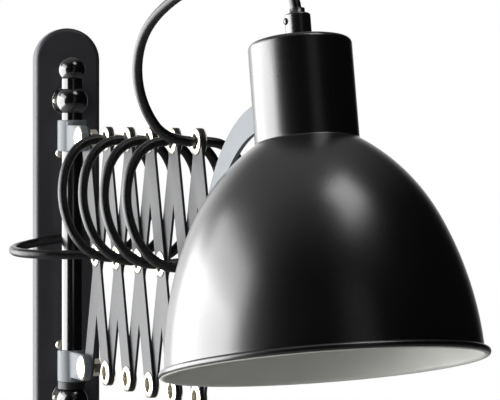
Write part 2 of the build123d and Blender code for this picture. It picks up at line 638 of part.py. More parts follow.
def shade_lug():
    """Clevis on the neck, with its pivot screw and fluted knob."""
    cheek_in = ARM_SHEET / 2 + FACE_GAP + SEAT_GAP
    neck = NECK_DIAMETER / 2
    into_neck = LUG_PLATE_WIDTH / 5
    depth = LUG_PLATE_SHEET + into_neck
    base = Box(
        LUG_PLATE_WIDTH, depth, LUG_PLATE_HEIGHT, align=(Align.CENTER, Align.MIN, Align.CENTER)
    )
    base = Pos(0, neck - into_neck, 0) * base
    base = fillet(base.edges().filter_by(Axis.Y), LUG_PLATE_EDGE)
    body = base
    for side in (1, -1):
        x = side * (cheek_in + CHEEK_SHEET / 2)
        cheek = Pos(x, neck, 0) * Box(
            CHEEK_SHEET, PIVOT_REACH, ARM_WIDTH, align=(Align.CENTER, Align.MIN, Align.CENTER)
        )
        round_end = Pos(x, NECK_TO_PIVOT, 0) * Rot(0, 90, 0) * Cylinder(ARM_WIDTH / 2, CHEEK_SHEET)
        body += cheek + round_end
    body -= rod_shape(NECK_DIAMETER + 2 * RUNNING, -NECK_BELOW_LUG, NECK_ABOVE_LUG)
    hole = Cylinder(SHADE_SCREW / 2 + RUNNING, 2 * LUG_PLATE_WIDTH)
    body -= Pos(0, NECK_TO_PIVOT, 0) * Rot(0, 90, 0) * hole
    keep("shade_lug", SHADE_FRAME * body)
    stack = cheek_in + CHEEK_SHEET
    at_pivot = SHADE_FRAME * Pos(0, NECK_TO_PIVOT, 0) * Rot(0, 90, 0)
    length = 2 * stack + SEAT_GAP + KNOB_HEIGHT - KNOB_FLOOR
    screw = dome_screw(SHADE_SCREW_HEAD, SHADE_SCREW_HEAD_HEIGHT, SHADE_SCREW, length)
    keep("shade_pivot_screw", at_pivot * Pos(0, 0, -stack - SEAT_GAP) * screw)
    knob = rod_shape(KNOB_DIAMETER, stack + SEAT_GAP, stack + SEAT_GAP + KNOB_HEIGHT)
    knob = fillet(knob.faces().sort_by(Axis.Z)[-1].edges(), KNOB_EDGE)
    flute = rod_shape(KNOB_FLUTE_DIAMETER, stack - 1, stack + KNOB_HEIGHT + 2)
    for index in range(KNOB_FLUTES):
        knob -= Rot(0, 0, 360 * index / KNOB_FLUTES) * Pos(KNOB_DIAMETER / 2, 0, 0) * flute
    knob -= rod_shape(SHADE_SCREW + 2 * RUNNING, stack - 1, stack + KNOB_HEIGHT - 0.8 * KNOB_FLOOR)
    keep("shade_pivot_knob", at_pivot * knob)


def lampholder():
    """Threaded nipple with its nut, holder cap, threaded sleeve and contact block."""
    ceiling = NECK_ABOVE_LUG - SHADE_SHEET
    cap_top = ceiling - NIPPLE_NUT_HEIGHT
    nipple_low = cap_top - NIPPLE_IN_CAP
    nipple = ring(NIPPLE_DIAMETER, NIPPLE_BORE, nipple_low, NECK_ABOVE_LUG + NIPPLE_IN_GRIP)
    keep("lampholder_nipple", SHADE_FRAME * nipple)
    bore = NIPPLE_DIAMETER + 2 * RUNNING
    keep("nipple_nut", SHADE_FRAME * hex_nut(NIPPLE_NUT_FLATS, NIPPLE_NUT_HEIGHT, bore, cap_top))
    cap_low = cap_top - HOLDER_CAP_HEIGHT
    cap = rod_shape(HOLDER_DIAMETER, cap_low, cap_top)
    cap = fillet(cap.faces().sort_by(Axis.Z)[-1].edges(), HOLDER_CAP_EDGE)
    cap -= rod_shape(HOLDER_DIAMETER - 2 * HOLDER_CAP_WALL, cap_low - 1, cap_top - HOLDER_CAP_ROOF)
    cap -= rod_shape(bore, cap_low, cap_top + 1)
    keep("lampholder_cap", SHADE_FRAME * cap)
    sleeve_low = cap_top - HOLDER_HEIGHT
    sleeve = rod_shape(HOLDER_DIAMETER, sleeve_low, cap_low - SEAT_GAP)
    seat_low = sleeve_low + LAMP_THREAD_DEPTH
    sleeve -= rod_shape(LAMP_THREAD_DIAMETER, sleeve_low - 1, seat_low + 1)
    sleeve -= rod_shape(CONTACT_SEAT_DIAMETER, seat_low, cap_low + 1)
    for index in range(HOLDER_BANDS):
        z = sleeve_low + HOLDER_BAND_START + index * HOLDER_BAND_PITCH
        band = ring(HOLDER_DIAMETER + 2, HOLDER_DIAMETER - 2 * HOLDER_BAND_DEPTH, 0, HOLDER_BAND_WIDTH)
        sleeve -= Pos(0, 0, z) * band
    keep("lampholder_sleeve", SHADE_FRAME * sleeve)
    block_low = seat_low + CONTACT_DEPTH
    block = rod_shape(CONTACT_SEAT_DIAMETER - 2 * RUNNING, block_low, cap_low + CONTACT_IN_CAP)
    block = block + rod_shape(CONTACT_STUD, seat_low + DRILL_GAP, block_low)
    keep("lampholder_contact", SHADE_FRAME * block)
    return sleeve_low


def cord_grip():
    """Turned grip on top of the neck that clamps the cord with a side screw."""
    foot, head = NECK_ABOVE_LUG, NECK_ABOVE_LUG + GRIP_HEIGHT
    grip = rod_shape(GRIP_DIAMETER, foot, head)
    grip = fillet(grip.faces().sort_by(Axis.Z)[-1].edges(), GRIP_EDGE)
    grip += rod_shape(GRIP_COLLAR_DIAMETER, head - 1, head + GRIP_COLLAR_HEIGHT)
    grip -= rod_shape(NIPPLE_DIAMETER + 2 * RUNNING, foot - 1, foot + NIPPLE_IN_GRIP + SEAT_GAP)
    grip -= rod_shape(CORD_BORE, foot + NIPPLE_IN_GRIP, head + GRIP_COLLAR_HEIGHT + 1)
    turn = Pos(0, 0, foot + (GRIP_HEIGHT + NIPPLE_IN_GRIP) / 2 - 0.5) * Rot(0, 90, 0)
    grip -= turn * rod_shape(GRIP_SCREW + 2 * RUNNING, -GRIP_DIAMETER, 0)
    keep("cord_grip", SHADE_FRAME * grip)
    length = (GRIP_DIAMETER - CORD_DIAMETER) / 2 - SEAT_GAP
    screw = dome_screw(GRIP_SCREW_HEAD, GRIP_SCREW_HEAD_HEIGHT, GRIP_SCREW, length)
    keep("cord_grip_screw", SHADE_FRAME * turn * Pos(0, 0, -GRIP_DIAMETER / 2) * screw)


# ---------------------------------------------------------------- cord
def half_turn(pivot_a, pivot_b, outward):
    """Half a turn of the lacing between two eyelets, an oval that leaves both squarely."""
    run = (-(pivot_b[0] - pivot_a[0]), pivot_b[1] - pivot_a[1])
    chord = math.hypot(*run)
    turn = math.radians(CORD_END_TURN)
    # end radius r and crown radius q: the chord and the bulge give two equations
    c11, c12, c21, c22 = 1 - math.cos(turn), math.cos(turn), math.sin(turn), 1 - math.sin(turn)
    det = c11 * c22 - c12 * c21
    end_radius = (chord / 2 * c22 - c12 * CORD_BULGE) / det
    crown_radius = (c11 * CORD_BULGE - c21 * chord / 2) / det
    lead_in = Line((0, 0), (0, CORD_LEAD))
    first = JernArc(lead_in @ 1, (0, 1), end_radius, -CORD_END_TURN)
    crown = JernArc(first @ 1, first % 1, crown_radius, -(180 - 2 * CORD_END_TURN))
    last = JernArc(crown @ 1, crown % 1, end_radius, -CORD_END_TURN)
    lead_out = Line(last @ 1, (chord, 0))
    path = Wire([lead_in.edge(), first.edge(), crown.edge(), last.edge(), lead_out.edge()])
    plane = Plane(
        origin=(0, -pivot_a[0], pivot_a[1]),
        x_dir=(0, run[0] / chord, run[1] / chord),
        z_dir=Vector(0, run[0] / chord, run[1] / chord).cross(Vector(outward, 0, 0)),
    )
    return SWING_FRAME * plane.location * path, (end_radius, crown_radius)


def lacing():
    """Rear half turns on the rear bars, front half turns on the front bars."""
    routes = []
    for k in range(1, CELLS + 1):
        path, radii = half_turn(mid(k), top(k), 1)
        keep(f"cord_rear_{k}", tube(path))
        routes.append(path)
        if k < CELLS:
            path, radii = half_turn(top(k), mid(k + 1), -1)
            keep(f"cord_front_{k}", tube(path))
            routes.append(path)
    length = sum(route.length for route in routes)
    print(f"lacing: {len(routes)} half turns, {length:.0f} mm, radii {radii[0]:.1f} {radii[1]:.1f}")
    return routes


def rounded(points, label):
    """Straight runs joined by tangent arcs as large as the runs allow."""
    corners = [Vector(*point) for point in points]
    radii = []
    for before, here, after in zip(corners, corners[1:], corners[2:]):
        first, second = here - before, after - here
        half = math.radians(first.get_angle(second)) / 2
        radii.append(0.45 * min(first.length, second.length) / math.tan(half))
    path = FilletPolyline(*corners, radius=radii)
    print(f"{label}: length {path.length:.0f} mm, radii " + " ".join(f"{r:.0f}" for r in radii))
    return path.wire() if hasattr(path, "wire") else path


def free_cord(routes):
    """The stretch from the wall plate to the first eyelet, and the slack loop to the shade."""
    behind = ROD_AXIS_Y + CORD_BEHIND_ROD
    wall_points = [
        (GROMMET_X, -CORD_IN_PLATE, BLOCK_TOP_Z),
        (GROMMET_X, -CORD_IN_PLATE, GROMMET_Z),
        (GROMMET_X, behind, GROMMET_Z),
    ]
    # shares of the bend's width: beside the rod, past the rod, up
    bend_shares = [
        (-0.23, 0.35, 0.16),
        (-0.63, 0.19, 0.105),
        (-0.93, -0.21, 0.058),
        (-1.0, -0.67, 0.028),
        (-0.81, -1.12, 0.009),
    ]
    wall_points += [
        (x * WALL_BEND, ROD_AXIS_Y + y * WALL_BEND, z * WALL_BEND) for x, y, z in bend_shares
    ]
    wall_points += [in_swing(-WALL_BEND / 2, *mid(1)), in_swing(0, *mid(1))]
    wall_path = rounded([tuple(p) for p in wall_points], "wall stretch")
    keep("cord_wall", tube(wall_path))
    start_reach, start_height = top(CELLS)
    span = SHADE_PIVOT[0] + NECK_TO_PIVOT - start_reach
    loop_points = [in_swing(0, *top(CELLS)), in_swing(-LOOP_STEM, *top(CELLS))]
    # shares of the loop's bulge, span and rise: in front of the arm, out, up
    loop_shares = [
        (-0.83, 0.02, 0.20),
        (-1.0, 0.055, 0.45),
        (-0.98, 0.14, 0.70),
        (-0.74, 0.30, 0.89),
        (-0.40, 0.48, 0.99),
        (-0.24, 0.66, 1.0),
        (-0.16, 0.825, 0.97),
    ]
    loop_points += [
        in_swing(side * LOOP_BULGE, start_reach + out * span, start_height + up * LOOP_RISE)
        for side, out, up in loop_shares
    ]
    mouth = NECK_ABOVE_LUG + GRIP_HEIGHT + GRIP_COLLAR_HEIGHT
    loop_points += [
        (SHADE_FRAME * Pos(0, 0, mouth + GRIP_STEM)).position,
        (SHADE_FRAME * Pos(0, 0, NECK_ABOVE_LUG + NIPPLE_IN_GRIP + SEAT_GAP)).position,
    ]
    loop_path = rounded([tuple(p) for p in loop_points], "slack loop")
    keep("cord_loop", tube(loop_path))
    routes = [wall_path] + routes + [loop_path]
    print(f"cord: {sum(route.length for route in routes):.0f} mm in all")
    return routes


def least_gap(routes):
    """Least distance between stretches of the cord that are not neighbours, less its diameter."""
    samples = [[route @ (i / 60) for i in range(61)] for route in routes]
    least = 1e9
    for i, first in enumerate(samples):
        for second in samples[i + 2:]:
            for a in first:
                for b in second:
                    least = min(least, (a - b).length)
    return least - CORD_DIAMETER


# ---------------------------------------------------------------- build
def main():
    """Build every node, write its STEP file and print the places a record needs."""
    wall_plate()
    wall_strap()
    terminal_block()
    cord_grommet()
    rail()
    brackets()
    scissor_bars()
    eyelets()
    tip_fasteners()
    crescent_arm()
    shade_shell()
    shade_lug()
    holder_mouth = lampholder()
    cord_grip()
    routes = free_cord(lacing())
    print(f"cord: least gap to itself {least_gap(routes):.1f} mm")
    os.makedirs("parts", exist_ok=True)
    for node, shape in parts.items():
        export_step(shape, f"parts/{node}.step")
    axis = SWING_FRAME * Pos(1, 0, 0)
    print("hinge axis", tuple(axis.position - SWING_FRAME.position))
    places = (("low 0", low(0)), ("top 0", top(0)), ("tip", TIP), ("shade pivot", SHADE_PIVOT))
    for label, place in places:
        print(label, [round(c, 3) for c in tuple(in_swing(0, *place))])
    mouth = (SHADE_FRAME * Pos(0, 0, holder_mouth)).position
    down = mouth - SHADE_FRAME.position
    print("lamp thread mouth", tuple(mouth), "axis", tuple(down / down.length))
    print(len(parts), "nodes")


main()
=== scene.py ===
"""Accordion wall lamp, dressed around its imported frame.

The wall is the plane y = 0 and the lamp stands out towards -Y, with +Z up. Every size is in
metres unless its name ends in _mm. The scissor arm's places are worked out from the frame's
joints, and the shade's place from the frame's lampholder mount.
"""
from __future__ import annotations

import json
import logging
import math
from collections.abc import Iterable, Sequence
from dataclasses import dataclass, field
from enum import Enum
from typing import ClassVar

import bmesh
import bpy
from mathutils import Matrix, Vector

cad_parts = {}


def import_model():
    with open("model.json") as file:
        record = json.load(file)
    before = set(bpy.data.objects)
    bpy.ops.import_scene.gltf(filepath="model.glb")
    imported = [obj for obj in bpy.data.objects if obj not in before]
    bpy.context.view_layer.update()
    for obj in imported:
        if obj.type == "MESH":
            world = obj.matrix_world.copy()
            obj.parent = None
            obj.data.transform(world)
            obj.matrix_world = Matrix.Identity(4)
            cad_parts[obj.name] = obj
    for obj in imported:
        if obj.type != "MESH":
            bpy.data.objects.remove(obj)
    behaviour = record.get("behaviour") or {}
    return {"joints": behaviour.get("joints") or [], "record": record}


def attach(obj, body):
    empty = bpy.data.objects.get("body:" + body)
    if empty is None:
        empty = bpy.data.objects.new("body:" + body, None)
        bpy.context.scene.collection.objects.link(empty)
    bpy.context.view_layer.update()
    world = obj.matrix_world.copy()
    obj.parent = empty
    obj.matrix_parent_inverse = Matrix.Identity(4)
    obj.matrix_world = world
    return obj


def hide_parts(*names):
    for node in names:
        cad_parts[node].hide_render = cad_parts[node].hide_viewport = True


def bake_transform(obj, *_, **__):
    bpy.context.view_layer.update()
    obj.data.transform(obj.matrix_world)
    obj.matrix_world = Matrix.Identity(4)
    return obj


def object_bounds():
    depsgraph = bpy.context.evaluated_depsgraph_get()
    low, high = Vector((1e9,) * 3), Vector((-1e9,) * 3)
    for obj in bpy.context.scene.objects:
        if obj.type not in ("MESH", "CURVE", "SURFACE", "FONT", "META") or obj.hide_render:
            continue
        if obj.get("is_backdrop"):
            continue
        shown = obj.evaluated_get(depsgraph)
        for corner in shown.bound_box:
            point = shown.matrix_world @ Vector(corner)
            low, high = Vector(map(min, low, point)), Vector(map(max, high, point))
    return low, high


log = logging.getLogger("wall_lamp")

MM = 0.001
UP = Vector((0.0, 0.0, 1.0))

Point2 = tuple[float, float]
Point3 = tuple[float, float, float]


# ---------------------------------------------------------------- colours and nodes
def linear(hex_colour: str) -> tuple[float, float, float, float]:
    """Turn an sRGB hex colour into linear RGBA.

    Args:
        hex_colour: a colour such as "#8f9194".

    Returns:
        The linear red, green and blue, and an alpha of 1.
    """
    channels = [int(hex_colour[i:i + 2], 16) / 255 for i in (1, 3, 5)]
    red, green, blue = (
        c / 12.92 if c <= 0.04045 else ((c + 0.055) / 1.055) ** 2.4 for c in channels
    )
    return (red, green, blue, 1.0)


def add_node(
    tree: bpy.types.NodeTree,
    kind: str,
    inputs: dict[str | int, object] | None = None,
    **settings: object,
) -> bpy.types.Node:
    """Add one node with its settings, values and links.

    Args:
        tree: the node tree.
        kind: the node's type name.
        inputs: a value or an output socket for each input, by name or number.
        **settings: the node's own properties.

    Returns:
        The new node.
    """
    node = tree.nodes.new(kind)
    for name, value in settings.items():
        setattr(node, name, value)
    for name, value in (inputs or {}).items():
        if isinstance(value, bpy.types.NodeSocket):
            tree.links.new(value, node.inputs[name])
        else:
            node.inputs[name].default_value = value
    return node


def per_metre(size_mm: float) -> float:
    """Texture scale at which one cell of a pattern is that many millimetres."""
    return 1000.0 / size_mm


# ---------------------------------------------------------------- finishes
@dataclass(frozen=True)
class Finish:
    """A coated, plated or moulded surface with a fine grain and slow variation.

    The grain is the surface's own texture, such as orange peel or powder grit. The cloudiness
    shifts the roughness over a few centimetres, as handling and polishing do.
    """

    name: str
    colour: str
    roughness: float
    metallic: float = 0.0
    grain_mm: float = 0.6
    grain_height_mm: float = 0.01
    cloud_mm: float = 30.0
    cloud_depth: float = 0.04
    shade_depth: float = 0.08
    coat: float = 0.0
    coat_roughness: float = 0.05
    ior: float = 1.5
    stretch: tuple[float, float, float] = (1.0, 1.0, 1.0)

    def make(self) -> bpy.types.Material:
        """Build the material.

        Returns:
            The new material.
        """
        material = bpy.data.materials.new(self.name)
        material.use_nodes = True
        tree = material.node_tree
        tree.nodes.clear()
        place = add_node(tree, "ShaderNodeTexCoord").outputs["Object"]
        drawn = add_node(
            tree, "ShaderNodeMapping", {"Vector": place, "Scale": self.stretch}
        ).outputs["Vector"]
        cloud = add_node(
            tree, "ShaderNodeTexNoise",
            {"Vector": place, "Scale": per_metre(self.cloud_mm), "Detail": 3.0},
        ).outputs["Fac"]
        grain = add_node(
            tree, "ShaderNodeTexNoise",
            {"Vector": drawn, "Scale": per_metre(self.grain_mm), "Detail": 2.0, "Roughness": 0.6},
        ).outputs["Fac"]
        rough = add_node(
            tree, "ShaderNodeMapRange",
            {"Value": cloud, "From Min": 0.3, "From Max": 0.7,
             "To Min": max(0.02, self.roughness - self.cloud_depth),
             "To Max": self.roughness + self.cloud_depth},
        ).outputs["Result"]
        low = linear(self.colour)
        tint = add_node(
            tree, "ShaderNodeMix",
            {"Factor": cloud, 6: tuple(c * (1 - self.shade_depth) for c in low[:3]) + (1.0,),
             7: tuple(min(1.0, c * (1 + self.shade_depth)) for c in low[:3]) + (1.0,)},
            data_type="RGBA",
        ).outputs[2]
        bump = add_node(
            tree, "ShaderNodeBump",
            {"Height": grain, "Strength": 1.0, "Distance": self.grain_height_mm * MM},
        ).outputs["Normal"]
        shader = add_node(
            tree, "ShaderNodeBsdfPrincipled",
            {"Base Color": tint, "Roughness": rough, "Normal": bump, "Metallic": self.metallic,
             "Coat Weight": self.coat, "Coat Roughness": self.coat_roughness, "IOR": self.ior},
        )
        add_node(tree, "ShaderNodeOutputMaterial", {"Surface": shader.outputs[0]})
        return material


@dataclass(frozen=True)
class BraidedTextile:
    """Braided textile sleeve of a lamp cord: black and grey rayon strands, the grey with a painted
    highlight on its crowns.

    The piece's UV map is in metres, along the cord and round it. Each strand is drawn about
    twice as wide as it is, because the real one is too fine to show.
    """

    name: str
    colour: str = "#050506"
    # grey strand colour, shown only towards the strand crowns: partly the rayon's own grey, partly
    # a painted highlight
    fleck_and_glint: str = "#2c2d30"
    strand_mm: float = 1.25
    crossing_strands: float = 1.6
    around: int = 16
    lift_mm: float = 0.05
    fleck_and_glint_share: float = 0.22
    roughness: float = 0.26
    ior: float = 1.6

    def make(self) -> bpy.types.Material:
        """Build the material.

        Returns:
            The new material.
        """
        material = bpy.data.materials.new(self.name)
        material.use_nodes = True
        tree = material.node_tree
        tree.nodes.clear()
        place = add_node(tree, "ShaderNodeUVMap").outputs["UV"]
        circumference = math.pi * CORD_DIAMETER
        parted = add_node(
            tree, "ShaderNodeMapping",
            {"Vector": place,
             "Scale": (
                 per_metre(self.strand_mm * self.crossing_strands),
                 self.around / 2 / circumference,
                 1.0,
             )},
        ).outputs["Vector"]
        split = add_node(tree, "ShaderNodeSeparateXYZ", {"Vector": parted})
        along, round_ = split.outputs["X"], split.outputs["Y"]
        first = add_node(tree, "ShaderNodeMath", {0: along, 1: round_}, operation="ADD").outputs[0]
        second = add_node(
            tree, "ShaderNodeMath", {0: along, 1: round_}, operation="SUBTRACT"
        ).outputs[0]
        waves = [
            add_node(
                tree, "ShaderNodeMath",
                {0: add_node(
                    tree, "ShaderNodeMath", {0: way, 1: math.tau}, operation="MULTIPLY"
                ).outputs[0]},
                operation="SINE",
            ).outputs[0]
            for way in (first, second)
        ]
        weave = add_node(
            tree, "ShaderNodeMath", {0: waves[0], 1: waves[1]}, operation="MULTIPLY"
        ).outputs[0]
        height = add_node(tree, "ShaderNodeMath", {0: weave}, operation="ABSOLUTE").outputs[0]
        cells = [
            add_node(
                tree, "ShaderNodeMath",
                {0: add_node(
                    tree, "ShaderNodeMath", {0: way, 1: 2.0}, operation="MULTIPLY"
                ).outputs[0]},
                operation="FLOOR",
            ).outputs[0]
            for way in (first, second)
        ]
        cell = add_node(tree, "ShaderNodeCombineXYZ", {"X": cells[0], "Y": cells[1]}).outputs[0]
        chance = add_node(
            tree, "ShaderNodeTexWhiteNoise", {"Vector": cell}, noise_dimensions="2D"
        ).outputs["Value"]
        chosen = add_node(
            tree, "ShaderNodeMath", {0: chance, 1: self.fleck_and_glint_share}, operation="LESS_THAN"
        ).outputs[0]
        # the grey is weighted by the weave's height: full on the strand crowns and fading to black
        # in the valleys, a painted highlight on the crowns and painted shade between the strands
        fleck_crown_highlight = add_node(
            tree, "ShaderNodeMath", {0: chosen, 1: height}, operation="MULTIPLY"
        ).outputs[0]
        tint = add_node(
            tree, "ShaderNodeMix",
            {"Factor": fleck_crown_highlight, 6: linear(self.colour), 7: linear(self.fleck_and_glint)}, data_type="RGBA",
        ).outputs[2]
        bump = add_node(
            tree, "ShaderNodeBump",
            {"Height": height, "Strength": 1.0, "Distance": self.lift_mm * MM},
        ).outputs["Normal"]
        shader = add_node(
            tree, "ShaderNodeBsdfPrincipled",
            {"Base Color": tint, "Roughness": self.roughness, "Normal": bump, "IOR": self.ior},
        )
        add_node(tree, "ShaderNodeOutputMaterial", {"Surface": shader.outputs[0]})
        return material


class Coats(Enum):
    """The finishes of this lamp's pieces."""

    # pressed steel with satin black powder coat: dark, with a soft broad highlight
    PLATE = Finish("plate_satin_powder", "#343439", 0.38, grain_mm=0.5, grain_height_mm=0.006)
    # rod and balls in wet gloss black enamel: sharp reflections with a slight orange peel
    RAIL = Finish(
        "rail_gloss_enamel", "#08080a", 0.17, grain_mm=6.0, grain_height_mm=0.01,
        cloud_depth=0.02, ior=2.1,
    )
    # flat bars in satin black enamel: grey where they mirror the pale room at a low angle
    BAR = Finish("bar_satin_enamel", "#2a2b2e", 0.36, grain_mm=0.8, grain_height_mm=0.006)
    # nickel plate on brass, worn to a soft shine: bright cream white, slightly warm
    NICKEL = Finish(
        "bright_nickel_plate", "#e9e3d3", 0.30, metallic=1.0, grain_mm=1.5, grain_height_mm=0.006,
        cloud_mm=6.0, cloud_depth=0.05,
    )
    # cast brackets in satin silver lacquer: soft grey with hardly any mirror
    BRACKET = Finish(
        "bracket_silver_lacquer", "#6f7377", 0.42, metallic=0.05, grain_mm=0.4,
        grain_height_mm=0.005, ior=1.4,
    )
    # crescent arm in satin nickel lacquer, brushed along its length: pale grey, hardly a mirror
    ARM = Finish(
        "arm_satin_nickel", "#686d72", 0.42, metallic=0.04, grain_mm=0.4, grain_height_mm=0.004,
        ior=1.38, stretch=(1.0, 1.0, 0.2),
    )
    # shade outside in matte powder coat: fine grit that breaks up the edge of each highlight
    SHADE = Finish(
        "shade_matte_powder", "#040405", 0.28, grain_mm=1.1, grain_height_mm=0.03,
        cloud_depth=0.01, ior=2.05,
    )
    # shade inside in off-white stove enamel
    LINING = Finish("shade_white_enamel", "#e6e6e1", 0.38, grain_mm=1.2, grain_height_mm=0.006)
    # zinc-plated steel: dull blue grey
    ZINC = Finish("zinc_plated_steel", "#a3a7ab", 0.4, metallic=1.0, grain_mm=2.5)
    # phenolic moulding of the lampholder: black, half gloss
    PHENOLIC = Finish("black_phenolic", "#121213", 0.28, grain_mm=3.0, grain_height_mm=0.01)
    # stamped brass contact
    BRASS = Finish("stamped_brass", "#c39b4e", 0.28, metallic=1.0, grain_mm=1.5)
    # moulded polyamide connector, milky
    POLYAMIDE = Finish("milky_polyamide", "#dcd9cf", 0.45, grain_mm=1.5)
    # moulded rubber bush
    RUBBER = Finish("black_rubber", "#171717", 0.62, grain_mm=0.8)
    # acetal bush and fluted knob
    ACETAL = Finish("black_acetal", "#161617", 0.38, grain_mm=1.0)
    # turned steel cord grip in satin black
    GRIP = Finish(
        "grip_satin_black", "#141415", 0.24, grain_mm=0.8, grain_height_mm=0.006, ior=2.1
    )


_made: dict[str, bpy.types.Material] = {}


def coat(choice: Coats) -> bpy.types.Material:
    """Return the material of a finish, made once."""
    if choice.value.name not in _made:
        _made[choice.value.name] = choice.value.make()
    return _made[choice.value.name]


# ---------------------------------------------------------------- mesh helpers
# points nearer than this are one point: for pieces made here, and for copies of packed ones
WELD = 0.01 * MM
FINE_WELD = 0.002 * MM


def finish_mesh(
    name: str,
    mesh: bmesh.types.BMesh,
    materials: Sequence[bpy.types.Material],
    place: Matrix | None = None,
    sharp_degrees: float = 35.0,
) -> bpy.types.Object:
    """Turn a bmesh into an object at the origin, with its place in its mesh.

    Args:
        name: the piece's name.
        mesh: the bmesh, which is freed.
        materials: the material slots.
        place: the matrix that puts the mesh in the row frame.
        sharp_degrees: edges that turn more than this stay sharp.

    Returns:
        The new object, smooth-shaded.
    """
    if place is not None:
        bmesh.ops.transform(mesh, matrix=place, verts=mesh.verts)
    data = bpy.data.meshes.new(name)
    mesh.to_mesh(data)
    mesh.free()
    for material in materials:
        data.materials.append(material)
    data.shade_smooth()
    data.set_sharp_from_angle(angle=math.radians(sharp_degrees))
    piece = bpy.data.objects.new(name, data)
    bpy.context.scene.collection.objects.link(piece)
    return piece


def arc(centre: Point2, radius: float, start: float, end: float, count: int) -> list[Point2]:
    """Points on an arc, ends included.

    Args:
        centre: the arc's centre, as (radius from the axis, height).
        radius: the arc's radius.
        start: the first angle, in degrees from the outward direction.
        end: the last angle.
        count: how many steps the arc has.

    Returns:
        The points.
    """
    turns = [math.radians(start + (end - start) * i / count) for i in range(count + 1)]
    return [(centre[0] + radius * math.cos(a), centre[1] + radius * math.sin(a)) for a in turns]


def spin_profile(mesh: bmesh.types.BMesh, profile: Sequence[Point2], steps: int, slot: int) -> None:
    """Turn a profile about the Z axis and add it to a mesh.

    Args:
        mesh: the mesh that it is added to.
        profile: (radius, height) points, in order.
        steps: how many steps make the full turn.
        slot: the material slot of the new faces.
    """
    before = set(mesh.faces)
    verts = [mesh.verts.new((radius, 0.0, height)) for radius, height in profile]
    edges = [mesh.edges.new(pair) for pair in zip(verts, verts[1:])]
    bmesh.ops.spin(
        mesh, geom=verts + edges, cent=(0, 0, 0), axis=(0, 0, 1), angle=math.tau, steps=steps,
        use_merge=True,
    )
    for face in set(mesh.faces) - before:
        face.material_index = slot


def dressed_copy(
    node: str, body: str, choice: Coats, sharp_degrees: float = 32.0
) -> bpy.types.Object:
    """Stand a merged, smooth-shaded copy of a frame node in for it.

    Args:
        node: the node's name.
        body: the body that the piece rides on.
        choice: the finish.
        sharp_degrees: edges that turn more than this stay sharp.

    Returns:
        The piece.
    """
    mesh = bmesh.new()
    mesh.from_mesh(bpy.data.objects[node].data)
    bmesh.ops.remove_doubles(mesh, verts=mesh.verts, dist=FINE_WELD)
    piece = finish_mesh(node + "_dressed", mesh, [coat(choice)], sharp_degrees=sharp_degrees)
    weights = piece.modifiers.new("even_shading", "WEIGHTED_NORMAL")
    weights.keep_sharp = True
    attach(piece, body)
    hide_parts(node)
    return piece


# ---------------------------------------------------------------- places
@dataclass(frozen=True)
class Linkage:
    """Places of the scissor arm's pivots, worked out from the frame's joints."""

    side: Vector
    out: Vector
    foot: Vector
    pitch: float
    rise: float

    @classmethod
    def read(cls, joints: Iterable[dict]) -> Linkage:
        """Read the pivots from the frame.

        Args:
            joints: the frame's joints.

        Returns:
            The linkage.
        """
        by_name = {joint["name"]: joint for joint in joints}
        side = Vector(by_name["extend"]["axis"]).normalized()
        foot = Vector(by_name["extend"]["pos_m"])
        top = Vector(by_name["upper_bracket_pivot"]["pos_m"])
        crossing = Vector(by_name["crossing_1"]["pos_m"])
        half = Vector((crossing.x - foot.x, crossing.y - foot.y, 0.0))
        return cls(side, half.normalized(), foot, 2 * half.length, top.z - foot.z)

    def low(self, k: float) -> Vector:
        """Bottom pivot k; pivot 0 is on the lower bracket."""
        return self.foot + self.out * (self.pitch * k)

    def top(self, k: float) -> Vector:
        """Top pivot k; pivot 0 is on the upper bracket."""
        return self.low(k) + UP * self.rise

    def mid(self, k: float) -> Vector:
        """Crossing of the k-th pair of bars."""
        return self.low(k - 0.5) + UP * (self.rise / 2)

    def offset(self, start: Vector, side: float, along: float, up: float) -> Vector:
        """Point at a distance across, along and up from another."""
        return start + self.side * side + self.out * along + UP * up


@dataclass(frozen=True)
class ShadePlace:
    """The shade's own frame: +Z up its axis from the height of its lug."""

    matrix: Matrix
    # from the lug's height down to the lampholder's mouth
    mouth_below_lug: ClassVar[float] = 22.6 * MM

    @classmethod
    def read(cls, record: dict, side: Vector) -> ShadePlace:
        """Read the shade's axis from the lampholder mount.

        Args:
            record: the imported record.
            side: unit vector across the arm.

        Returns:
            The shade's place.
        """
        mount = next(m for m in record["mounts"] if m["name"] == "lamp_thread")
        up = -Vector(mount["axis"]).normalized()
        origin = Vector(mount["pos_m"]) + up * cls.mouth_below_lug
        back = up.cross(side).normalized()
        across = back.cross(up)
        matrix = Matrix((across, back, up)).transposed().to_4x4()
        matrix.translation = origin
        return cls(matrix)

    def at(self, height: float) -> Vector:
        """Point on the shade's axis at a height above the lug."""
        return self.matrix @ Vector((0.0, 0.0, height))


